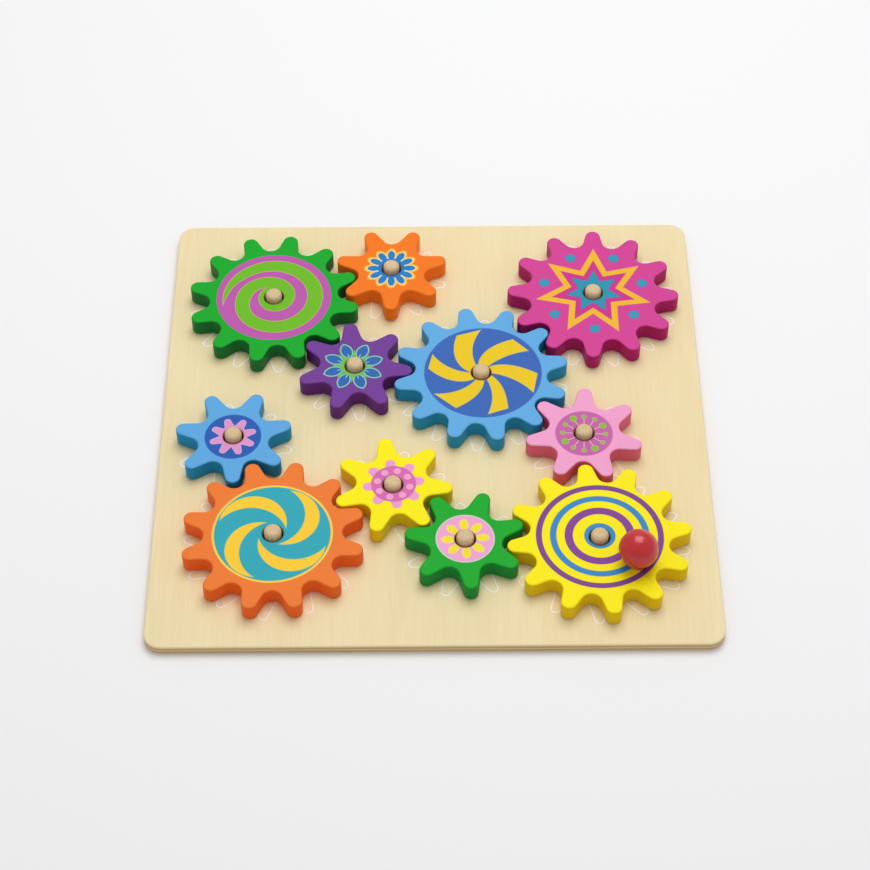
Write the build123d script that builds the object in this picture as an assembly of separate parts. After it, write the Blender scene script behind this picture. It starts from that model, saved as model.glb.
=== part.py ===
"""A wooden gear board: eleven round-toothed gears that turn together on pegs.

Millimetres. The origin is the middle of the board's underside, with +Z up.
+X runs to the right, and +Y away from someone who has the crank knob at the
near right-hand corner.
"""
import os
from math import acos, atan2, degrees

from build123d import *

os.makedirs("parts", exist_ok=True)

# Base board, birch plywood
board_width = 260.0
board_depth = 260.0
board_thickness = 5.0
board_corner_radius = 8.0
board_edge_round = 0.8

# Gears, all cut from one sheet and painted
gear_thickness = 9.0
gear_edge_round = 0.8
gear_lift = 0.1  # running gap under a gear

# Teeth. A pitch circle's diameter is the module times its number of teeth.
tooth_module = 6.2
mesh_play = 2.4  # added to every centre distance, so that loose gears never bind
large_teeth = 12
large_tip_rise = 5.3  # from the pitch circle out to the tip
large_tip_round = 3.7
small_teeth = 7
small_tip_rise = 6.2
small_tip_round = 3.5
round_clearance = 1.15  # a root is this much rounder than the tip that rolls in it
large_bottom_gap = 1.5  # from a small gear's tip to a large gear's root
small_bottom_gap = 0.8  # from a small gear's tip to a small gear's root

# Pegs, one dowel for each gear, glued into holes through the board
peg_diameter = 8.0
peg_stand = 3.0  # above the gear's face
peg_top_round = 2.0
bore_clearance = 1.0  # loose running fit round the peg, on the radius
glue_gap = 0.05  # round a glued dowel, on the radius

# Crank knob, turned from beech, on a dowel glued into the crank gear
knob_ball_diameter = 18.0
knob_height = 18.6
knob_foot_diameter = 9.6
knob_foot_round = 0.5
knob_offset = 21.5  # from the crank gear's centre
knob_bearing = -41.0  # degrees from +X
pin_diameter = 5.0
pin_depth_in_gear = 6.0
pin_depth_in_knob = 8.0
pin_end_gap = 0.3  # room for glue at the blind ends

# The middle gear starts the train: its peg, and the bearing of one of its teeth
first_gear = "blue_pinwheel"
first_peg_x = 23.3
first_peg_y = 22.3
first_tooth_angle = 10.2  # degrees from +X

# Each later gear meshes with one before it, at a bearing in degrees from that
# gear's peg. Its teeth lean by a share of a tooth in the play between the two.
train = [
    ("magenta_star", "large", "blue_pinwheel", 42.5, 0.08),
    ("purple_flower", "small", "blue_pinwheel", 175.5, 0.055),
    ("green_spiral", "large", "purple_flower", 132.0, -0.055),
    ("orange_daisy", "small", "green_spiral", 18.0, 0.055),
    ("pink_dandelion", "small", "blue_pinwheel", -38.5, -0.055),
    ("yellow_ring", "large", "pink_dandelion", -86.0, 0.055),
    ("green_blossom", "small", "yellow_ring", -179.5, -0.055),
    ("yellow_blossom", "small", "green_blossom", 136.5, 0.03),
    ("orange_swirl", "large", "yellow_blossom", -153.0, -0.04),
    ("blue_flower", "small", "orange_swirl", 110.0, -0.03),
]
crank_gear = "yellow_ring"

# Worked out from the sizes above
teeth = {"large": large_teeth, "small": small_teeth}
pitch_radius = {size: tooth_module * count / 2 for size, count in teeth.items()}
tip_radius = {
    "large": pitch_radius["large"] + large_tip_rise,
    "small": pitch_radius["small"] + small_tip_rise,
}
tip_round = {"large": large_tip_round, "small": small_tip_round}
root_round = max(large_tip_round, small_tip_round) + round_clearance


def centre_distance(size, other):
    """Distance between the pegs of two gears in mesh."""
    return pitch_radius[size] + pitch_radius[other] + mesh_play


root_radius = {
    "large": centre_distance("large", "small") - tip_radius["small"] - large_bottom_gap,
    "small": centre_distance("small", "small") - tip_radius["small"] - small_bottom_gap,
}

gear_bottom = board_thickness + gear_lift
gear_top = gear_bottom + gear_thickness
peg_top = gear_top + peg_stand
bore_radius = peg_diameter / 2 + bore_clearance
pin_hole_radius = pin_diameter / 2 + glue_gap

ON_BASE = (Align.CENTER, Align.CENTER, Align.MIN)


def polar(radius, bearing):
    """The point at a distance and a bearing in degrees from the origin."""
    return Vector(radius, 0).rotate(Axis.Z, bearing)


def bearing_of(point):
    """A point's bearing in degrees from the origin."""
    return degrees(atan2(point.Y, point.X))


def lay_out_train():
    """Size, peg and turn of the teeth of every gear, followed along the train."""
    sizes = {first_gear: "large"}
    pegs = {first_gear: Vector(first_peg_x, first_peg_y)}
    turns = {first_gear: first_tooth_angle}
    for name, size, partner, bearing, lean in train:
        reach = centre_distance(sizes[partner], size)
        partner_phase = (bearing - turns[partner]) * teeth[sizes[partner]] / 360
        phase = 0.5 + lean - partner_phase
        sizes[name] = size
        pegs[name] = pegs[partner] + polar(reach, bearing)
        turns[name] = (bearing + 180 - phase * 360 / teeth[size]) % (360 / teeth[size])
    return sizes, pegs, turns


def gear_outline(size):
    """Round tips and round roots joined by straight flanks, with one tip on +X."""
    half_pitch = 180 / teeth[size]
    tip_centre = polar(tip_radius[size] - tip_round[size], 0)
    root_centre = polar(root_radius[size] + root_round, half_pitch)
    span = root_centre - tip_centre
    # A flank is the line that touches a tip's circle and a root's circle between them
    touch = bearing_of(span) - degrees(acos((tip_round[size] + root_round) / span.length))
    flank_top = tip_centre + polar(tip_round[size], touch)
    flank_foot = root_centre - polar(root_round, touch)
    top_reach, top_bearing = flank_top.length, bearing_of(flank_top)
    foot_reach, foot_bearing = flank_foot.length, bearing_of(flank_foot)

    edges = []
    for tooth in range(teeth[size]):
        tip = 2 * half_pitch * tooth
        root = tip + half_pitch
        next_tip = root + half_pitch
        rise = polar(top_reach, tip - top_bearing)
        fall = polar(top_reach, tip + top_bearing)
        root_start = polar(foot_reach, tip + foot_bearing)
        root_end = polar(foot_reach, next_tip - foot_bearing)
        next_rise = polar(top_reach, next_tip - top_bearing)
        edges.append(ThreePointArc(rise, polar(tip_radius[size], tip), fall))
        edges.append(Line(fall, root_start))
        edges.append(ThreePointArc(root_start, polar(root_radius[size], root), root_end))
        edges.append(Line(root_end, next_rise))
    return make_face(edges)


def make_board(pegs):
    """The base board, with a hole through it for each peg."""
    outline = RectangleRounded(board_width, board_depth, board_corner_radius)
    board = extrude(outline, board_thickness)
    rims = board.edges().group_by(Axis.Z)[0] + board.edges().group_by(Axis.Z)[-1]
    board = fillet(rims, board_edge_round)
    for peg in pegs.values():
        hole = Cylinder(peg_diameter / 2 + glue_gap, board_thickness, align=ON_BASE)
        board -= Pos(peg) * hole
    return board


def make_peg(place):
    """A dowel, flush with the board's underside, with a rounded top."""
    peg = Cylinder(peg_diameter / 2, peg_top, align=ON_BASE)
    peg = fillet(peg.edges().group_by(Axis.Z)[-1], peg_top_round)
    return Pos(place) * peg


def make_gear(blank, place, turn):
    """A gear with a loose bore, on its peg with its teeth turned."""
    return Pos(place.X, place.Y, gear_bottom) * Rot(0, 0, turn) * blank


def gear_blank(size):
    """A gear with softened edges, its teeth from +X, standing on the origin."""
    gear = extrude(gear_outline(size), gear_thickness)
    rims = gear.edges().group_by(Axis.Z)[0] + gear.edges().group_by(Axis.Z)[-1]
    gear = fillet(rims, gear_edge_round)
    return gear - Cylinder(bore_radius, gear_thickness, align=ON_BASE)


def make_knob(place):
    """A ball on a short foot, flat where it meets the gear, with a blind hole for its dowel."""
    ball_radius = knob_ball_diameter / 2
    ball_height = knob_height - ball_radius
    foot = Cylinder(knob_foot_diameter / 2, ball_height, align=ON_BASE)
    foot = fillet(foot.edges().group_by(Axis.Z)[0], knob_foot_round)
    ball = Pos(0, 0, ball_height) * Sphere(ball_radius)
    above_gear = Cylinder(knob_ball_diameter, knob_height, align=ON_BASE)
    knob = foot + (ball & above_gear)
    hole = Cylinder(pin_hole_radius, pin_depth_in_knob + pin_end_gap, align=ON_BASE)
    return Pos(place.X, place.Y, gear_top) * (knob - hole)


def make_pin(place):
    """The dowel that holds the knob to its gear."""
    length = pin_depth_in_gear + pin_depth_in_knob
    pin = Cylinder(pin_diameter / 2, length, align=ON_BASE)
    return Pos(place.X, place.Y, gear_top - pin_depth_in_gear) * pin


sizes, pegs, turns = lay_out_train()
knob_place = pegs[crank_gear] + polar(knob_offset, knob_bearing)
blanks = {size: gear_blank(size) for size in teeth}

pieces = {"board": make_board(pegs)}
for name, place in pegs.items():
    pieces[name + "_peg"] = make_peg(place)
    pieces[name + "_gear"] = make_gear(blanks[sizes[name]], place, turns[name])

pin_hole = Cylinder(pin_hole_radius, pin_depth_in_gear + pin_end_gap, align=ON_BASE)
pin_hole_floor = gear_top - pin_depth_in_gear - pin_end_gap
pieces[crank_gear + "_gear"] -= Pos(knob_place.X, knob_place.Y, pin_hole_floor) * pin_hole
pieces["crank_knob"] = make_knob(knob_place)
pieces["crank_pin"] = make_pin(knob_place)

for name, piece in pieces.items():
    piece.label = name
    export_step(piece, f"parts/{name}.step")
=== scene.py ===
"""The looks of a wooden gear board toy: painted gears that turn together on dowel pegs."""
import math

import bmesh
import bpy
from mathutils import Color, Matrix, Quaternion, Vector


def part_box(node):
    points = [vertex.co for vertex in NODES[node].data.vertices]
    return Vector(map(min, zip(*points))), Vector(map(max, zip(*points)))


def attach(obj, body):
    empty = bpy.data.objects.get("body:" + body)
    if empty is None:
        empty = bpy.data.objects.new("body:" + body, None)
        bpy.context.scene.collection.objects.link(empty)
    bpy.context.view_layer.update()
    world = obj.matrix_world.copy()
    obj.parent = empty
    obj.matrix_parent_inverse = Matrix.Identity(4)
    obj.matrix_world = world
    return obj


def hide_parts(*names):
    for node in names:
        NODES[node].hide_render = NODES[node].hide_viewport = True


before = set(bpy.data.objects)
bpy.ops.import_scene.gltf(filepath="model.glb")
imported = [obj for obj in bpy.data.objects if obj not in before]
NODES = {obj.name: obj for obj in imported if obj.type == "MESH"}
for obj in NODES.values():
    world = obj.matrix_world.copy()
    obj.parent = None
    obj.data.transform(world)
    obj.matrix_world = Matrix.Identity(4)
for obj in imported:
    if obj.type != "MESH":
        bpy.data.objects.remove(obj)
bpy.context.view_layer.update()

MM = 0.001
BODY_OF_BOARD = "board_assembly"

# ---------------------------------------------------------------------------
# Camera. It stands in front of the board and well above it, looking down at
# the gears' faces, with the whole board in its square picture.

camera_place = Vector((0.00082, -0.69285, 0.84521))
camera_aim = Vector((0.00082, -0.01665, 0.0141))
camera_roll = math.radians(-0.396)

camera_data = bpy.data.cameras.new("camera")
camera_data.lens = 93.84
camera_data.sensor_width = 36.0
camera_data.clip_start = 0.05
camera_data.clip_end = 20.0
camera = bpy.data.objects.new("camera", camera_data)
bpy.context.collection.objects.link(camera)
camera.location = camera_place
level_look = (camera_aim - camera_place).to_track_quat("-Z", "Y")
camera.rotation_mode = "QUATERNION"
camera.rotation_quaternion = level_look @ Quaternion((0, 0, 1), camera_roll)
bpy.context.scene.camera = camera
bpy.context.scene.view_settings.view_transform = "Standard"

# ---------------------------------------------------------------------------
# Light and floor. A white room fills the shadows, and one large soft lamp hangs
# above and a little behind the toy, as over a studio table with a pale top.

room_strength = 0.55
lamp_place = Vector((0.10, 0.42, 1.25))
lamp_width = 0.9
lamp_watts = 9.5
floor_width = 6.0


def linear(red, green, blue):
    """A colour written as a painter's 0 to 255 values, as the light it reflects."""
    shade = Color((red / 255, green / 255, blue / 255)).from_srgb_to_scene_linear()
    return (*shade, 1.0)


world = bpy.data.worlds.new("white room")
world.use_nodes = True
world.node_tree.nodes["Background"].inputs["Color"].default_value = (1, 1, 1, 1)
world.node_tree.nodes["Background"].inputs["Strength"].default_value = room_strength
bpy.context.scene.world = world

lamp_data = bpy.data.lights.new("soft lamp", "AREA")
lamp_data.shape = "SQUARE"
lamp_data.size = lamp_width
lamp_data.energy = lamp_watts
lamp = bpy.data.objects.new("soft lamp", lamp_data)
lamp.location = lamp_place
lamp.rotation_mode = "QUATERNION"
lamp.rotation_quaternion = (-lamp_place).to_track_quat("-Z", "Y")
bpy.context.collection.objects.link(lamp)


def new_material(name):
    """An empty material, its node tree and its main shader."""
    material = bpy.data.materials.new(name)
    material.use_nodes = True
    return material, material.node_tree, material.node_tree.nodes["Principled BSDF"]


def add_node(tree, kind, settings=None, **links):
    """A node with its settings. Each link names an input, in words joined by underscores."""
    node = tree.nodes.new(kind)
    for setting, value in (settings or {}).items():
        setattr(node, setting, value)
    for words, value in links.items():
        given = node.inputs[words.replace("_", " ")]
        if isinstance(value, bpy.types.NodeSocket):
            tree.links.new(value, given)
        else:
            given.default_value = value
    return node


def new_piece(name, mesh, material):
    """A mesh as an object at the origin, with its one material."""
    piece = bpy.data.objects.new(name, mesh)
    bpy.context.collection.objects.link(piece)
    mesh.materials.clear()
    mesh.materials.append(material)
    return piece


floor_paint, tree, shader = new_material("matt white table top")
mottle = add_node(tree, "ShaderNodeTexNoise", Scale=6.0, Detail=3.0)
tint = add_node(tree, "ShaderNodeMix", {"data_type": "RGBA"}, Factor=mottle.outputs["Fac"])
tint.inputs["A"].default_value = linear(243, 243, 244)
tint.inputs["B"].default_value = linear(247, 247, 248)
tree.links.new(tint.outputs["Result"], shader.inputs["Base Color"])
shader.inputs["Roughness"].default_value = 0.75
shader.inputs["Specular IOR Level"].default_value = 0.2
floor_mesh = bpy.data.meshes.new("floor")
half = floor_width / 2
corners = [(-half, -half, 0), (half, -half, 0), (half, half, 0), (-half, half, 0)]
floor_mesh.from_pydata(corners, [], [(0, 1, 2, 3)])
floor = new_piece("floor", floor_mesh, floor_paint)

# ---------------------------------------------------------------------------
# Board. A square of birch plywood with rounded corners and sanded edges, under
# a thin clear coat. The CAD board is used as it is, with its holes for the pegs.

glue_levels = (1.0, 2.0, 3.0, 4.0)  # mm above the underside
half_glue_line = 0.14
crossed_plies = (1.5, 3.5)  # middles of the plies that show their end grain
half_ply = 0.5
edge_top = 4.55  # the plies show below this height
birch = linear(243, 228, 184)
birch_dark = linear(230, 207, 156)
birch_end_grain = linear(184, 146, 96)
glue_brown = linear(120, 84, 48)


class Measure:
    """A number that changes over a surface. Arithmetic on it adds Math nodes."""

    def __init__(self, tree, socket):
        self.tree = tree
        self.socket = socket

    def math(self, operation, *others, clamp=False):
        node = self.tree.nodes.new("ShaderNodeMath")
        node.operation = operation
        node.use_clamp = clamp
        for given, value in zip(node.inputs, (self, *others)):
            if isinstance(value, Measure):
                self.tree.links.new(value.socket, given)
            else:
                given.default_value = value
        return Measure(self.tree, node.outputs[0])

    def __add__(self, other):
        return self.math("ADD", other)

    def __sub__(self, other):
        return self.math("SUBTRACT", other)

    def __rsub__(self, other):
        return self.math("MULTIPLY_ADD", -1.0, other)

    def __mul__(self, other):
        return self.math("MULTIPLY", other)

    def __truediv__(self, other):
        return self.math("DIVIDE", other)

    def __abs__(self):
        return self.math("ABSOLUTE")

    __radd__ = __add__
    __rmul__ = __mul__


def least(first, *others):
    """The smallest of some measures, which is where all of their shapes meet."""
    for other in others:
        first = first.math("MINIMUM", other)
    return first


def most(first, *others):
    """The largest of some measures, which joins their shapes."""
    for other in others:
        first = first.math("MAXIMUM", other)
    return first


def length_of(across, up):
    """The length of a line from its two legs."""
    return (across * across + up * up).math("SQRT")


def cover(inside, softness=0.12):
    """How much of a shape's colour shows, from how far inside it the surface lies."""
    return (inside / softness).math("ADD", 0.5, clamp=True)


def mix(tree, below, above, share):
    """One colour over another, each a socket or a plain colour, by a measured share."""
    node = add_node(tree, "ShaderNodeMix", {"data_type": "RGBA"}, Factor=share.socket)
    for given, value in ((node.inputs[6], below), (node.inputs[7], above)):
        if isinstance(value, bpy.types.NodeSocket):
            tree.links.new(value, given)
        else:
            given.default_value = value
    return node.outputs[2]


def place_in_mm(tree, origin=(0, 0, 0)):
    """A surface's place in mm from an origin, as a vector socket and three measures."""
    source = add_node(tree, "ShaderNodeTexCoord")
    centred = add_node(tree, "ShaderNodeMapping", Vector=source.outputs["Object"])
    centred.inputs["Scale"].default_value = (1000, 1000, 1000)
    centred.inputs["Location"].default_value = [-1000 * value for value in origin]
    split = add_node(tree, "ShaderNodeSeparateXYZ", Vector=centred.outputs["Vector"])
    return centred.outputs["Vector"], *(Measure(tree, leg) for leg in split.outputs)


def grain(tree, place, stretch, scale, detail=4.0, distortion=0.3):
    """Noise drawn out along one way, as the fibres of wood are."""
    drawn = add_node(tree, "ShaderNodeMapping", Vector=place)
    drawn.inputs["Scale"].default_value = stretch
    noise = add_node(tree, "ShaderNodeTexNoise", Vector=drawn.outputs["Vector"], Scale=scale,
                     Detail=detail, Roughness=0.6, Distortion=distortion)
    return Measure(tree, noise.outputs["Fac"])


def bump(tree, shader, height, distance, strength=1.0):
    """Raises the surface by a measured height. The distance is in metres."""
    node = add_node(tree, "ShaderNodeBump", Height=height.socket, Distance=distance,
                    Strength=strength)
    tree.links.new(node.outputs["Normal"], shader.inputs["Normal"])


board_ply, tree, shader = new_material("clear coated birch plywood")
place, *_, z = place_in_mm(tree)
fibres = grain(tree, place, (1.0, 0.045, 1.0), 0.9)
figure = grain(tree, place, (1.0, 0.25, 1.0), 0.03, detail=2.0, distortion=1.0)
streaks = (fibres * 0.7 + figure * 0.6 - 0.35).math("MULTIPLY", 1.2, clamp=True)
face = mix(tree, birch, birch_dark, streaks)
in_edge = cover(edge_top - z, 0.3)
glue = most(*[half_glue_line - abs(z - level) for level in glue_levels])
crossed = most(*[cover(half_ply - abs(z - middle), 0.1) for middle in crossed_plies])
pores = grain(tree, place, (1.0, 1.0, 0.35), 1.6, detail=5.0)
layers = mix(tree, birch_dark, birch_end_grain, crossed * (pores * 0.7 + 0.35))
layers = mix(tree, layers, glue_brown, cover(glue, 0.15) * 0.55)
finish = mix(tree, face, layers, in_edge)
tree.links.new(finish, shader.inputs["Base Color"])
sheen = fibres * 0.22 + 0.36
tree.links.new(sheen.socket, shader.inputs["Roughness"])
shader.inputs["Specular IOR Level"].default_value = 0.2
bump(tree, shader, fibres, 0.00004, 0.5)
board = NODES["board"]
for slot in board.material_slots:
    slot.material = board_ply

# ---------------------------------------------------------------------------
# Pegs. Each is a beech dowel glued through the board, with its top end sanded
# round. Its gear turns loosely on it.

peg_round = 2.0
peg_segments = 64
foot_bevel = 0.05  # at the glued end, flush with the board's underside
foot_strip = 0.4
flat_margin = 0.3  # a narrow strip beside each rounding, which keeps the flats looking flat
beech = linear(226, 201, 160)
beech_dark = linear(194, 160, 116)
beech_fleck = linear(140, 100, 62)

gear_names = [name.removesuffix("_gear") for name in NODES if name.endswith("_gear")]
pegs = {}
for name in gear_names:
    low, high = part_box(name + "_peg")
    pegs[name] = (low + high) / 2


def along(bearing):
    """The direction of a bearing, which is given in radians."""
    return Vector((math.cos(bearing), math.sin(bearing)))


def turned(name, profile, segments=peg_segments):
    """A closed solid from its profile of radii and heights in mm, as a lathe makes it."""
    solid = bmesh.new()
    rings = []
    for radius, height in profile:
        if radius == 0:
            rings.append([solid.verts.new((0, 0, height * MM))] * segments)
            continue
        ring = []
        for step in range(segments):
            spot = radius * MM * along(2 * math.pi * step / segments)
            ring.append(solid.verts.new((*spot, height * MM)))
        rings.append(ring)
    for ring, following in zip(rings, rings[1:]):
        for step in range(segments):
            after = (step + 1) % segments
            corners = [ring[step], ring[after], following[after], following[step]]
            solid.faces.new(dict.fromkeys(corners)).smooth = True
    solid.normal_update()
    mesh = bpy.data.meshes.new(name)
    solid.to_mesh(mesh)
    solid.free()
    return mesh


def arc(radius, middle_radius, middle_height, start, end, steps):
    """Points of a profile along an arc, between two bearings in degrees above level."""
    points = []
    for step in range(steps + 1):
        rise = math.radians(start + (end - start) * step / steps)
        points.append((middle_radius + radius * math.cos(rise),
                       middle_height + radius * math.sin(rise)))
    return points


def beech_wood(name, peg):
    """Sanded beech, with long fibres, short dark flecks and open end grain."""
    material, tree, shader = new_material(name)
    place, *_ = place_in_mm(tree, (peg.x, peg.y, 0))
    shifted = add_node(tree, "ShaderNodeMapping", Vector=place)
    shifted.inputs["Location"].default_value = (peg.x * 7000, peg.y * 9000, 0)  # each its own
    fibres = grain(tree, shifted.outputs["Vector"], (1.0, 1.0, 0.06), 1.7, detail=5.0)
    flecks = grain(tree, shifted.outputs["Vector"], (1.0, 1.0, 0.22), 4.5, detail=2.0)
    figure = (fibres * 2.4).math("SUBTRACT", 0.85, clamp=True)
    fleck = (flecks * 5.0).math("SUBTRACT", 3.0, clamp=True)
    wood = mix(tree, beech, beech_dark, figure)
    wood = mix(tree, wood, beech_fleck, fleck * 0.5)
    tree.links.new(wood, shader.inputs["Base Color"])
    shader.inputs["Roughness"].default_value = 0.55
    shader.inputs["Specular IOR Level"].default_value = 0.3
    bump(tree, shader, fibres + flecks * 0.4, 0.00006, 0.7)
    return material


for name in gear_names:
    node = name + "_peg"
    low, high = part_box(node)
    peg_radius = (high.x - low.x) / 2 / MM
    top = high.z / MM
    shoulder = arc(peg_round, peg_radius - peg_round, top - peg_round, 0, 90, 8)
    profile = [(0, 0), (peg_radius - flat_margin, 0), (peg_radius, foot_bevel),
               (peg_radius, foot_strip), (peg_radius, top - peg_round - flat_margin),
               *shoulder, (peg_radius - peg_round - flat_margin, top), (0, top)]
    mesh = turned(name + " dowel", profile)
    mesh.transform(Matrix.Translation((pegs[name].x, pegs[name].y, 0)))
    wood = beech_wood(name.replace("_", " ") + " dowel", pegs[name])
    dowel = new_piece("dowel_" + name, mesh, wood)
    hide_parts(node)
    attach(dowel, BODY_OF_BOARD)

# ---------------------------------------------------------------------------
# Gears. Each is sawn from 9 mm plywood, bored, sanded round at its edges and
# painted. One tooth is drawn, and Geometry Nodes repeat it round the bore.

large = {"teeth": 12, "tip_radius": 42.5, "root_radius": 31.9, "tip_round": 3.7}
small = {"teeth": 7, "tip_radius": 27.9, "root_radius": 17.1, "tip_round": 3.5}
root_round = 4.85
edge_round = 0.8
bore_radius = 5.0
bore_edge = 0.3
steps_of_tip = 9
steps_of_root = 9
steps_of_edge = 4
tip_depth = 0.5  # the points this near to the tips show how the teeth are turned
seam = 0.002  # points of two slices that lie this close are one


def shape_of(name):
    """The sawn shape of a gear, by how far it reaches from its peg."""
    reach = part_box(name + "_gear")[1].x - pegs[name].x
    halfway = (small["tip_radius"] + large["tip_radius"]) / 2 * MM
    return large if reach > halfway else small


def tooth_outline(teeth, tip_radius, root_radius, tip_round, root_round=root_round):
    """Points and outward directions of one tooth on +X, from mid gap to mid gap."""
    half_pitch = math.pi / teeth
    tip_centre = (tip_radius - tip_round) * along(0)
    root_centre = (root_radius + root_round) * along(half_pitch)
    span = root_centre - tip_centre
    meeting = math.acos((tip_round + root_round) / span.length)
    flank = math.atan2(span.y, span.x) - meeting
    upper = []
    for step in range(steps_of_tip + 1):
        way = along(flank * step / steps_of_tip)
        upper.append((tip_centre + tip_round * way, way))
    for step in range(steps_of_root + 1):
        way = along(flank + (half_pitch - flank) * step / steps_of_root)
        upper.append((root_centre - root_round * way, way))
    flip = Vector((1, -1))
    lower = [(point * flip, way * flip) for point, way in reversed(upper[1:])]
    return lower + upper


def tooth_slice(name, shape, bottom, top):
    """One tooth with its share of the gear's faces, edges and bore, in metres."""
    outline = tooth_outline(**shape)
    half_pitch = math.pi / shape["teeth"]
    rounding = []
    for step in range(steps_of_edge + 1):
        rise = math.pi / 2 * step / steps_of_edge
        rounding.append((edge_round * (1 - math.sin(rise)), edge_round * (1 - math.cos(rise))))
    over = [(inset, top - drop) for inset, drop in rounding]
    under = [(inset, bottom + drop) for inset, drop in rounding]
    rim = [(edge_round + flat_margin, top), *over, (0, top - edge_round - flat_margin)]
    rim += [(0, bottom + edge_round + flat_margin), *reversed(under)]
    rim += [(edge_round + flat_margin, bottom)]
    hole = [(bore_edge + flat_margin, bottom), (bore_edge, bottom), (0, bottom + bore_edge)]
    hole += [(0, top - bore_edge), (bore_edge, top), (bore_edge + flat_margin, top)]

    shell = bmesh.new()
    rings = []
    for inset, level in hole:
        ring = []
        for index in range(len(outline)):
            share = index / (len(outline) - 1)
            point = (bore_radius + inset) * along(half_pitch * (2 * share - 1))
            ring.append(shell.verts.new((*(point * MM), level * MM)))
        rings.append(ring)
    for inset, level in rim:
        ring = [shell.verts.new((*((point - way * inset) * MM), level * MM))
                for point, way in outline]
        rings.append(ring)
    for ring, following in zip(rings, rings[1:] + rings[:1]):
        for index in range(len(outline) - 1):
            corners = (ring[index], ring[index + 1], following[index + 1], following[index])
            shell.faces.new(corners).smooth = True
    mesh = bpy.data.meshes.new(name)
    shell.normal_update()
    shell.to_mesh(mesh)
    shell.free()
    return mesh


def pattern_tree(name, sizes):
    """An empty Geometry Nodes tree with a geometry going in and out, and named inputs."""
    tree = bpy.data.node_groups.new(name, "GeometryNodeTree")
    tree.interface.new_socket("Geometry", in_out="INPUT", socket_type="NodeSocketGeometry")
    for words, kind in sizes:
        tree.interface.new_socket(words, in_out="INPUT", socket_type=kind)
    tree.interface.new_socket("Geometry", in_out="OUTPUT", socket_type="NodeSocketGeometry")
    return tree, tree.nodes.new("NodeGroupInput"), tree.nodes.new("NodeGroupOutput")


teeth_tree, given, result = pattern_tree(
    "Teeth round a bore", [("Teeth", "NodeSocketInt"), ("Paint", "NodeSocketMaterial")])
spots = add_node(teeth_tree, "GeometryNodePoints", Count=given.outputs["Teeth"])
number = Measure(teeth_tree, add_node(teeth_tree, "GeometryNodeInputIndex").outputs["Index"])
pitch = add_node(teeth_tree, "ShaderNodeMath", {"operation": "DIVIDE"})
pitch.inputs[0].default_value = 2 * math.pi
teeth_tree.links.new(given.outputs["Teeth"], pitch.inputs[1])
bearing = number * Measure(teeth_tree, pitch.outputs[0])
spin = add_node(teeth_tree, "ShaderNodeCombineXYZ", Z=bearing.socket)
spin = add_node(teeth_tree, "FunctionNodeEulerToRotation", Euler=spin.outputs["Vector"])
ring = add_node(teeth_tree, "GeometryNodeInstanceOnPoints", Points=spots.outputs["Points"],
                Instance=given.outputs["Geometry"], Rotation=spin.outputs["Rotation"])
ring = add_node(teeth_tree, "GeometryNodeRealizeInstances", Geometry=ring.outputs["Instances"])
ring = add_node(teeth_tree, "GeometryNodeMergeByDistance", Geometry=ring.outputs["Geometry"],
                Distance=seam * MM)
ring = add_node(teeth_tree, "GeometryNodeSetMaterial", Geometry=ring.outputs["Geometry"],
                Material=given.outputs["Paint"])
teeth_tree.links.new(ring.outputs["Geometry"], result.inputs["Geometry"])


def grown(name, mesh, tree, **inputs):
    """The plain mesh that a Geometry Nodes tree makes from a mesh, with its inputs set."""
    seed = bpy.data.objects.new(name + " pattern", mesh)
    bpy.context.collection.objects.link(seed)
    modifier = seed.modifiers.new(name, "NODES")
    modifier.node_group = tree
    for item in tree.interface.items_tree:
        if item.in_out == "INPUT" and item.name in inputs:
            modifier[item.identifier] = inputs[item.name]
    graph = bpy.context.evaluated_depsgraph_get()
    grown_mesh = bpy.data.meshes.new_from_object(seed.evaluated_get(graph), depsgraph=graph)
    grown_mesh.name = name
    bpy.data.objects.remove(seed)
    return grown_mesh


def teeth_turn(gear, peg, shape):
    """How far a CAD gear's teeth are turned from +X, from the points at their tips."""
    reach = (shape["tip_radius"] - tip_depth) * MM
    total = Vector((0, 0))
    for corner in gear.data.vertices:
        leg = corner.co.xy - peg.xy
        if leg.length > reach:
            total += along(math.atan2(leg.y, leg.x) * shape["teeth"])
    return math.atan2(total.y, total.x) / shape["teeth"]


# ---------------------------------------------------------------------------
# Gear paint. A face is printed in flat inks over its ground colour, and the
# sawn edge is stained darker. The grain of the plywood shows faintly through.

bare_bore = linear(150, 112, 70)
face_paint_depth = 0.45  # how far the face's colour runs down the edge
bore_paint_depth = 0.3
bore_paint_reach = 0.15  # past the bore's wall
ply_pair = 1.8  # height of a light and a dark ply of a stained edge
dark_ply = 0.78  # as light as this share of the stain


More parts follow.
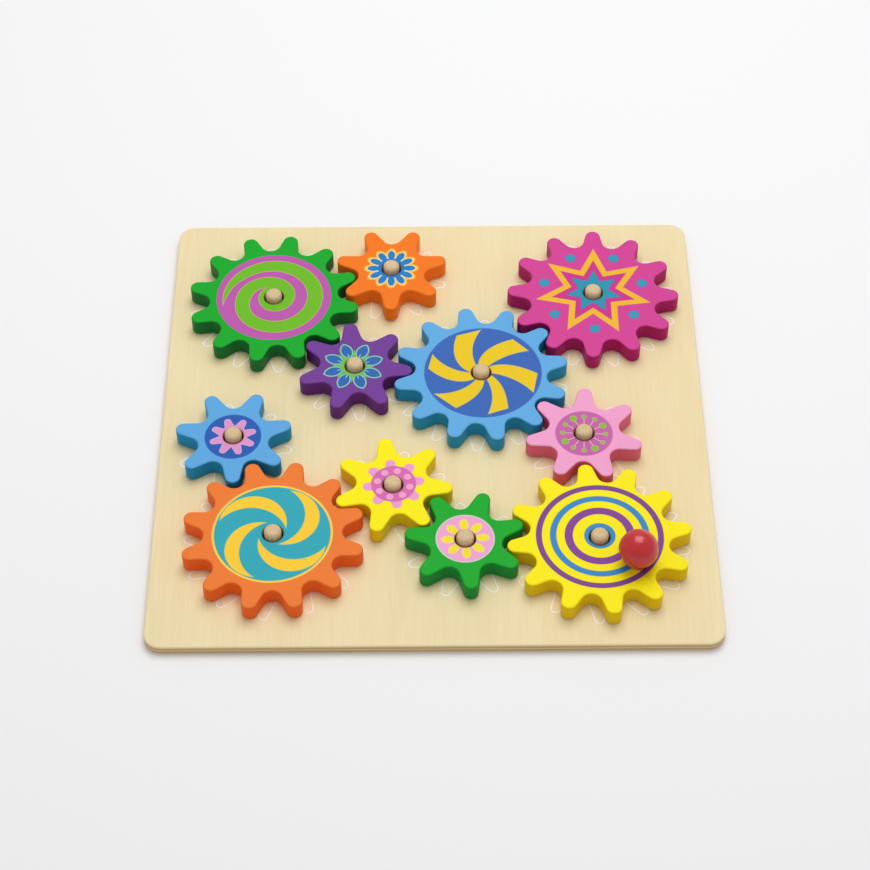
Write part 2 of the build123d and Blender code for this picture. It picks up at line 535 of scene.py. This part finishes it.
class Print:
    """The inks on one gear's face, one over another, measured in mm from its peg."""

    def __init__(self, name, peg, shift, ground, edge):
        self.material, self.tree, self.shader = new_material(name)
        self.shift = Vector(shift)  # the print lands a little off the peg, in mm
        middle = peg.xy + self.shift * MM
        self.place, self.x, self.y, self.z = place_in_mm(self.tree, (*middle, 0))
        self.radius = length_of(self.x, self.y)
        self.bearing = self.y.math("ARCTAN2", self.x)
        self.colour = linear(*ground)
        self.edge = linear(*edge)

    def ink(self, inside, colour):
        """Prints a colour wherever the measure of being inside a shape is above zero."""
        self.colour = mix(self.tree, self.colour, linear(*colour), cover(inside))

    def lined(self, inside, colour, line_colour, line):
        """Prints a shape with a line of another colour round it."""
        self.ink(inside + line, line_colour)
        self.ink(inside, colour)

    def disc(self, radius):
        return radius - self.radius

    def ring(self, inner, outer):
        return least(outer - self.radius, self.radius - inner)

    def fold(self, count, first):
        """Legs along and across the nearest of some evenly spaced bearings in degrees."""
        share = math.pi / count
        turned = (self.bearing - math.radians(first)).math("WRAP", share, -share)
        return self.radius * turned.math("COSINE"), abs(self.radius * turned.math("SINE"))

    def distance_from(self, point):
        """Distance from a point of the print."""
        return length_of(self.x - point[0], self.y - point[1])

    def away(self, distance, bearing):
        """Distance from a point that lies at a distance and a bearing in degrees."""
        return self.distance_from(distance * along(math.radians(bearing)))

    def toward(self, bearing):
        """Distance travelled along a bearing in degrees."""
        way = along(math.radians(bearing))
        return self.x * way.x + self.y * way.y

    def dried(self, top):
        """Finishes the paint: stained edges below the face, grain and a satin sheen."""
        tree, shader = self.tree, self.shader
        fibres = grain(tree, self.place, (1.0, 0.07, 1.0), 0.8)
        blotch = grain(tree, self.place, (1.0, 0.6, 1.0), 0.09, detail=2.0)
        in_edge = cover(top - face_paint_depth - self.z, 0.45)
        layers = abs((self.z * (1 / ply_pair)).math("FRACT") - 0.5)
        shaded = mix(tree, self.edge, [dark_ply * part for part in self.edge[:3]] + [1.0],
                     (layers * 1.5 + fibres * 0.5 - 0.35).math("MULTIPLY", 0.5, clamp=True))
        shade = mix(tree, self.colour, shaded, in_edge)
        from_peg = self.distance_from(-self.shift)
        in_bore = cover(least(bore_radius + bore_paint_reach - from_peg,
                              top - bore_paint_depth - self.z), 0.2)
        shade = mix(tree, shade, bare_bore, in_bore)
        toned = add_node(tree, "ShaderNodeHueSaturation", Color=shade)
        tone = fibres * 0.05 + blotch * 0.08 + 0.935
        tree.links.new(tone.socket, toned.inputs["Value"])
        tree.links.new(toned.outputs["Color"], shader.inputs["Base Color"])
        sheen = fibres * 0.12 + 0.42
        tree.links.new(sheen.socket, shader.inputs["Roughness"])
        shader.inputs["Specular IOR Level"].default_value = 0.15
        bump(tree, shader, fibres, 0.00004, 0.5)
        return self.material


def star(face, count, first, tip, corner):
    """A star's points, from its tips' and its corners' distances."""
    leg, side = face.fold(count, first)
    inner = corner * along(math.pi / count)
    edge = inner - Vector((tip, 0))
    way = Vector((edge.y, -edge.x)).normalized()
    return (tip - leg) * way.x - side * way.y


def round_petals(face, count, first, tip, half_width, taper=0.0):
    """Straight petals with round ends, from the bore outwards."""
    leg, side = face.fold(count, first)
    beyond = (leg - (tip - half_width)).math("MAXIMUM", 0.0)
    narrowed = (tip - half_width - leg).math("MAXIMUM", 0.0) * taper
    return half_width - narrowed - length_of(beyond, side)


def oval_petals(face, count, first, middle, half_length, half_width):
    """Oval petals whose middles lie at a distance from the peg."""
    leg, side = face.fold(count, first)
    return (1.0 - length_of((leg - middle) / half_length, side / half_width)) * half_width


def pointed_petals(face, count, first, middle, half_length, half_width):
    """Petals between two equal arcs, so that both of their ends are points."""
    leg, side = face.fold(count, first)
    bow = (half_length ** 2 + half_width ** 2) / (2 * half_width)
    return bow - length_of(leg - middle, side + (bow - half_width))


def dots(face, count, first, distance, radius):
    """Round dots, evenly spaced."""
    leg, side = face.fold(count, first)
    return radius - length_of(leg - distance, side)


def print_pinwheel(face):
    """Six curved yellow blades with square ends, drawn by hand on a deep blue disc."""
    deep_blue, blue_line = (57, 102, 181), (78, 126, 200)
    yellow, olive_line = (236, 200, 24), (196, 186, 118)
    face.lined(28.2 - face.distance_from((0.9, 0.0)), deep_blue, blue_line, 0.3)
    bearing = face.bearing * math.degrees(1)
    outer, inner, roundness = 24.0, 8.0, 0.035
    inward = outer - face.radius
    bow = inward * (face.radius - inner) * roundness
    # Each blade has its round side's bearing at the outer circle and its bend in
    # degrees per mm inwards, then the same of its hollow side, and how far it reaches.
    blades = []
    for left, left_bend, right, right_bend, reach in (
            (120.5, 2.81, 94.0, 1.34, 25.9), (56.5, 2.3, 33.0, 0.85, 26.0),
            (1.5, 1.9, -23.5, 0.95, 26.8), (-59.5, 1.7, -80.5, 1.2, 25.6),
            (-117.0, 2.03, -145.5, 1.5, 24.9), (177.0, 2.7, 157.0, 1.4, 25.3)):
        round_side = (inward * left_bend - bow - bearing + left).math("WRAP", 180.0, -180.0)
        hollow_side = (bearing - inward * right_bend - right).math("WRAP", 180.0, -180.0)
        sides = least(round_side, hollow_side) * face.radius * math.radians(0.8)
        blades.append(least(sides, reach - face.toward((left + right) / 2)))
    face.lined(most(*blades) - 0.1, yellow, olive_line, 0.35)


def print_star(face):
    """A yellow star outline round a teal star, with a teal dot between each two points."""
    yellow, magenta = (238, 184, 44), (204, 50, 140)
    teal, bright_teal = (40, 148, 174), (50, 152, 182)
    points, first = 7, 87.2
    face.lined(star(face, points, first, 28.7, 14.9), yellow, (232, 150, 110), 0.25)
    face.lined(star(face, points, first, 20.9, 11.0), magenta, (220, 120, 90), 0.2)
    face.lined(star(face, points, first, 13.7, 7.4), teal, (118, 90, 160), 0.3)
    face.lined(dots(face, points, 63.3, 25.0, 2.45), bright_teal, (130, 100, 168), 0.35)


def print_pointed_flower(face):
    """Eight pointed blue petals with pale edges, and lime rays round the bore."""
    blue, pale_edge, lime, mint = (48, 102, 180), (140, 204, 168), (112, 190, 84), (112, 190, 170)
    petals = pointed_petals(face, 8, 19.5, 10.1, 5.1, 3.1)
    face.lined(petals, pale_edge, (96, 120, 146), 0.2)
    face.ink(petals - 0.6, blue)
    rays = pointed_petals(face, 8, 42, 7.2, 3.2, 0.6)
    face.ink(most(rays, face.disc(6.3)), lime)
    face.ink(pointed_petals(face, 8, 19.5, 7.0, 1.6, 0.4), mint)


def print_spiral(face):
    """An orchid band that winds out from the bore over a lime disc."""
    orchid, lime, pale = (187, 88, 172), (110, 187, 34), (196, 184, 100)
    inner_edge = [(0.0, 7.2), (0.17, 7.4), (0.42, 9.5), (0.67, 10.3), (0.92, 13.1),
                  (1.17, 18.5), (1.42, 23.5), (1.67, 24.2), (2.0, 24.4), (2.33, 26.0)]
    outer_edge = [(0.0, 7.2), (0.17, 11.3), (0.42, 16.4), (0.67, 16.8), (0.92, 17.5),
                  (1.14, 22.4), (1.22, 26.4), (1.33, 29.5)]
    most_turns, most_reach = 3.0, 30.0
    start = 119 / 360  # the bearing where the band starts, as a share of a turn
    turn = (face.bearing / (2 * math.pi) - start).math("FRACT")

    def edge(points, turns):
        """How far an edge of the band is from the bore's middle, after some turns."""
        node = add_node(face.tree, "ShaderNodeFloatCurve", Value=(turns / most_turns).socket)
        curve = node.mapping.curves[0]
        knots = [(turned / most_turns, reach / most_reach) for turned, reach in points]
        knots.append((1.0, knots[-1][1]))
        for knot, (across, up) in zip(curve.points, (knots[0], knots[-1])):
            knot.location = (across, up)
        for across, up in knots[1:-1]:
            curve.points.new(across, up)
        node.mapping.update()
        return Measure(face.tree, node.outputs["Value"]) * most_reach

    band = face.radius - edge(inner_edge, turn + 2)
    for turns in (turn, turn + 1):
        inside = least(face.radius - edge(inner_edge, turns),
                       edge(outer_edge, turns) - face.radius)
        band = most(band, inside)
    face.ink(face.disc(28.5), orchid)
    between = least(face.disc(28.4), 0.25 - band)
    face.ink(between, pale)
    face.ink(between - 0.3, lime)


def print_daisy(face):
    """Twelve blue petals edged in pale cream and yellow, close together round the bore."""
    blue, cream, yellow = (30, 126, 196), (240, 222, 160), (252, 186, 60)
    petals = oval_petals(face, 12, 0, 8.9, 3.1, 1.8)
    face.ink(most(petals + 1.0, face.disc(11.3)), yellow)
    face.ink(petals + 0.4, cream)
    face.ink(most(petals, face.disc(6.8)), blue)


def print_dandelion(face):
    """Twelve pale stems with lime heads, one in three of them large, on an orchid disc."""
    orchid, pale_pink = (196, 100, 168), (226, 178, 176)
    lime, bright_lime = (140, 184, 66), (132, 190, 40)
    first, reach = 27.4, 10.2
    face.lined(face.disc(13.4), orchid, (212, 132, 184), 0.3)
    leg, side = face.fold(12, first)
    face.ink(least(0.24 - side, 10.0 - leg), pale_pink)
    face.lined(dots(face, 12, first, reach, 1.0), lime, (200, 160, 150), 0.35)
    face.lined(dots(face, 4, first, reach, 1.5), bright_lime, (190, 176, 120), 0.3)


def print_rings(face):
    """Four rings, purple and blue by turns, round the bore."""
    ochre_line = (222, 196, 70)
    for inner, outer, colour in ((26.5, 29.1, (126, 70, 142)), (19.9, 22.7, (52, 138, 200)),
                                 (12.4, 16.0, (132, 68, 152)), (0.0, 7.1, (52, 142, 200))):
        face.lined(face.ring(inner, outer), colour, ochre_line, 0.25)


def print_green_blossom(face):
    """Eight oval yellow petals on a pink disc with a pale rim."""
    pink, pale_rim, yellow = (240, 166, 210), (206, 216, 204), (240, 228, 40)
    face.lined(face.disc(13.0), pink, pale_rim, 0.5)
    face.lined(oval_petals(face, 8, 3.6, 7.9, 2.7, 1.8), yellow, (248, 216, 150), 0.35)


def print_yellow_blossom(face):
    """An orchid disc with pink dots, set on eight round pink petals."""
    pink, pale_pink, orchid = (238, 160, 204), (242, 164, 204), (216, 108, 178)
    face.lined(round_petals(face, 8, 7.6, 14.2, 2.2, -0.15), pink, (246, 190, 150), 0.3)
    face.ink(face.disc(10.5), orchid)
    face.ink(dots(face, 8, 32.3, 7.7, 1.7), pale_pink)


def print_swirl(face):
    """Four yellow crescents, each a disc cut by a larger one, on a rimmed teal disc."""
    yellow, pale_yellow, teal = (254, 204, 50), (252, 208, 84), (46, 168, 184)
    face.ink(face.disc(27.7), pale_yellow)
    face.lined(face.disc(26.4), teal, (96, 160, 130), 0.25)
    crescents = []
    for blade in range(4):
        turn = 90 * blade - 1.5
        cut = face.away(10.7, 196.2 + turn) - 17.6
        crescents.append(least(15.3 - face.away(10.8, 148.7 + turn), cut))
    face.lined(most(*crescents), yellow, (180, 200, 120), 0.3)


def print_blue_flower(face):
    """Eight round pink petals on a deep blue disc."""
    deep_blue, blue_line = (38, 92, 176), (52, 120, 196)
    pink, lilac_line = (222, 150, 200), (214, 170, 226)
    face.lined(face.disc(13.2), deep_blue, blue_line, 0.25)
    petals = most(round_petals(face, 8, 17.9, 11.2, 1.7, -0.2), face.disc(6.4))
    face.lined(petals - 0.4, pink, lilac_line, 0.4)


paints = {  # ground colour, edge stain, the print's shift in mm, and the print
    "blue_pinwheel": ((98, 171, 225), (20, 146, 196), (0.0, 0.0), print_pinwheel),
    "magenta_star": ((210, 66, 148), (176, 14, 104), (0.2, 0.8), print_star),
    "purple_flower": ((114, 60, 150), (98, 36, 126), (-0.8, -0.4), print_pointed_flower),
    "green_spiral": ((10, 169, 38), (4, 116, 48), (0.0, 0.0), print_spiral),
    "orange_daisy": ((245, 121, 24), (255, 124, 16), (0.0, 0.0), print_daisy),
    "pink_dandelion": ((241, 162, 204), (228, 104, 136), (0.0, -0.4), print_dandelion),
    "yellow_ring": ((252, 236, 0), (232, 198, 0), (0.1, 0.5), print_rings),
    "green_blossom": ((10, 169, 38), (4, 140, 52), (0.0, 0.0), print_green_blossom),
    "yellow_blossom": ((252, 238, 0), (236, 204, 0), (0.4, 0.3), print_yellow_blossom),
    "orange_swirl": ((240, 124, 48), (244, 104, 30), (-0.2, 0.0), print_swirl),
    "blue_flower": ((94, 168, 224), (12, 142, 196), (-0.1, -0.5), print_blue_flower),
}


def drilled(mesh, place, radius, floor, top):
    """A gear's mesh with a blind hole, drilled from its face down to the hole's floor."""
    clear = top + 1  # the bit's upper end, past the face
    bit_profile = [(0, floor), (radius, floor), (radius, clear), (0, clear)]
    bit = bpy.data.objects.new("drill bit", turned("drill bit", bit_profile))
    bit.data.transform(Matrix.Translation((place.x, place.y, 0)))
    work = bpy.data.objects.new("gear under the drill", mesh)
    for thing in (bit, work):
        bpy.context.collection.objects.link(thing)
    cut = work.modifiers.new("blind hole", "BOOLEAN")
    cut.operation = "DIFFERENCE"
    cut.object = bit
    graph = bpy.context.evaluated_depsgraph_get()
    holed = bpy.data.meshes.new_from_object(work.evaluated_get(graph), depsgraph=graph)
    bpy.data.objects.remove(bit)
    bpy.data.objects.remove(work)
    return holed


pin_low, pin_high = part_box("crank_pin")
pin_middle = (pin_low + pin_high) / 2
pin_radius = (pin_high.x - pin_low.x) / 2 / MM
glue_gap = 0.05  # round a glued dowel
end_gap = 0.3  # room for glue at a blind hole's end

for name in gear_names:
    node = name + "_gear"
    low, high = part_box(node)
    bottom, top = low.z / MM, high.z / MM
    shape = shape_of(name)
    ground, edge_stain, shift, print_face = paints[name]
    face = Print(name.replace("_", " ") + " paint", pegs[name], shift, ground, edge_stain)
    print_face(face)
    paint = face.dried(top)
    blank = tooth_slice(name + " tooth", shape, bottom, top)
    mesh = grown(name + " wheel", blank, teeth_tree, Teeth=shape["teeth"], Paint=paint)
    turn = teeth_turn(NODES[node], pegs[name], shape)
    spot = Vector((pegs[name].x, pegs[name].y, 0))
    mesh.transform(Matrix.Translation(spot) @ Matrix.Rotation(turn, 4, "Z"))
    if name == "yellow_ring":
        mesh = drilled(mesh, pin_middle, pin_radius + glue_gap, pin_low.z / MM - end_gap, top)
    gear = new_piece("painted_" + name, mesh, paint)
    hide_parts(node)
    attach(gear, name + "_wheel")

# ---------------------------------------------------------------------------
# Printed outlines. The board shows where each gear goes by a fine white line
# of its shape with slimmer teeth. The ink stands a hair above the plywood.

line_width = 0.75 * MM
ink_film = 0.03 * MM
outline_large = dict(large, tip_radius=41.6, root_radius=30.4, tip_round=2.0, root_round=5.5)
outline_small = dict(small, tip_radius=26.9, root_radius=15.5, tip_round=2.0, root_round=5.5)
outline_lead = {  # degrees past the middle of the gear's gap
    "blue_pinwheel": 1.1, "magenta_star": 0.8, "purple_flower": -0.2, "green_spiral": 0.0,
    "orange_daisy": 6.0, "pink_dandelion": -5.0, "yellow_ring": 6.0, "green_blossom": -1.0,
    "yellow_blossom": 5.0, "orange_swirl": -6.0, "blue_flower": 7.3}

white_ink, tree, shader = new_material("white screen ink")
place, *_ = place_in_mm(tree)
speckle = grain(tree, place, (1.0, 0.3, 1.0), 1.5)
worn = mix(tree, linear(255, 255, 252), linear(253, 250, 240), speckle)
tree.links.new(worn, shader.inputs["Base Color"])
shader.inputs["Roughness"].default_value = 0.5

line_tree, given, result = pattern_tree(
    "Ink along an outline", [("Line width", "NodeSocketFloat"), ("Film", "NodeSocketFloat"),
                             ("Ink", "NodeSocketMaterial")])
path = add_node(line_tree, "GeometryNodeMeshToCurve", Mesh=given.outputs["Geometry"])
nib = add_node(line_tree, "GeometryNodeCurvePrimitiveQuadrilateral",
               Width=given.outputs["Line width"], Height=given.outputs["Film"])
line = add_node(line_tree, "GeometryNodeCurveToMesh", Curve=path.outputs["Curve"])
line_tree.links.new(nib.outputs["Curve"], line.inputs["Profile Curve"])
line = add_node(line_tree, "GeometryNodeRealizeInstances", Geometry=line.outputs["Mesh"])
line = add_node(line_tree, "GeometryNodeSetMaterial", Geometry=line.outputs["Geometry"],
                Material=given.outputs["Ink"])
line_tree.links.new(line.outputs["Geometry"], result.inputs["Geometry"])

board_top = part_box("board")[1].z
paths = bmesh.new()
for name in gear_names:
    sawn = shape_of(name)
    shape = outline_large if sawn is large else outline_small
    first = teeth_turn(NODES[name + "_gear"], pegs[name], sawn)
    first += math.pi / shape["teeth"] + math.radians(outline_lead[name])
    tooth = tooth_outline(**shape)[:-1]
    loop = []
    for number in range(shape["teeth"]):
        turning = Matrix.Rotation(first + 2 * math.pi * number / shape["teeth"], 2)
        for point, way in tooth:
            spot = turning @ (point * MM) + pegs[name].xy
            loop.append(paths.verts.new((*spot, board_top + ink_film / 2)))
    for here, there in zip(loop, loop[1:] + loop[:1]):
        paths.edges.new((here, there))
path_mesh = bpy.data.meshes.new("outline paths")
paths.to_mesh(path_mesh)
paths.free()
line_inputs = {"Line width": line_width, "Film": ink_film, "Ink": white_ink}
outlines = new_piece(
    "printed_outlines", grown("printed outlines", path_mesh, line_tree, **line_inputs), white_ink)
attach(outlines, BODY_OF_BOARD)

# ---------------------------------------------------------------------------
# Crank knob. A beech ball on a short foot, painted glossy red, and held to the
# crank gear by a dowel in a blind hole.

low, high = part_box("crank_knob")
knob_middle = (low + high) / 2
ball_radius = (high.x - low.x) / 2 / MM
foot_radius = 4.8
foot_round = 0.5
bevel = 0.2  # at the socket's end and mouth, and beside the foot's rounding
knob_segments = 96
socket_radius = pin_radius + glue_gap
socket_top = pin_high.z / MM + end_gap
knob_low = low.z / MM
ball_middle = high.z / MM - ball_radius
neck = -math.degrees(math.acos(foot_radius / ball_radius))

knob_profile = [(0, socket_top), (socket_radius - bevel, socket_top),
                (socket_radius, socket_top - bevel), (socket_radius, knob_low + bevel),
                (socket_radius + bevel, knob_low), (foot_radius - foot_round - bevel, knob_low),
                *arc(foot_round, foot_radius - foot_round, knob_low + foot_round, -90, 0, 4),
                *arc(ball_radius, 0, ball_middle, neck, 89.9, 40)[:-1], (0, high.z / MM)]
knob_mesh = turned("knob", knob_profile, knob_segments)
knob_mesh.transform(Matrix.Translation((knob_middle.x, knob_middle.y, 0)))

knob_red, tree, shader = new_material("glossy red paint on beech")
place, *_ = place_in_mm(tree, (knob_middle.x, knob_middle.y, 0))
fibres = grain(tree, place, (1.0, 1.0, 0.12), 0.9)
orange_peel = grain(tree, place, (1.0, 1.0, 1.0), 1.4, detail=1.0)
red = mix(tree, linear(214, 32, 38), linear(176, 16, 24), fibres)
tree.links.new(red, shader.inputs["Base Color"])
gloss = fibres * 0.1 + 0.24
tree.links.new(gloss.socket, shader.inputs["Roughness"])
shader.inputs["Coat Weight"].default_value = 0.35
shader.inputs["Coat Roughness"].default_value = 0.12
bump(tree, shader, fibres * 0.5 + orange_peel, 0.00004, 0.5)
knob = new_piece("red_knob", knob_mesh, knob_red)
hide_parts("crank_knob")
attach(knob, "yellow_ring_wheel")

# The dowel inside the knob keeps the CAD shape, in plain beech.
pin = NODES["crank_pin"]
pin_beech = beech_wood("crank pin beech", knob_middle)
for slot in pin.material_slots:
    slot.material = pin_beech
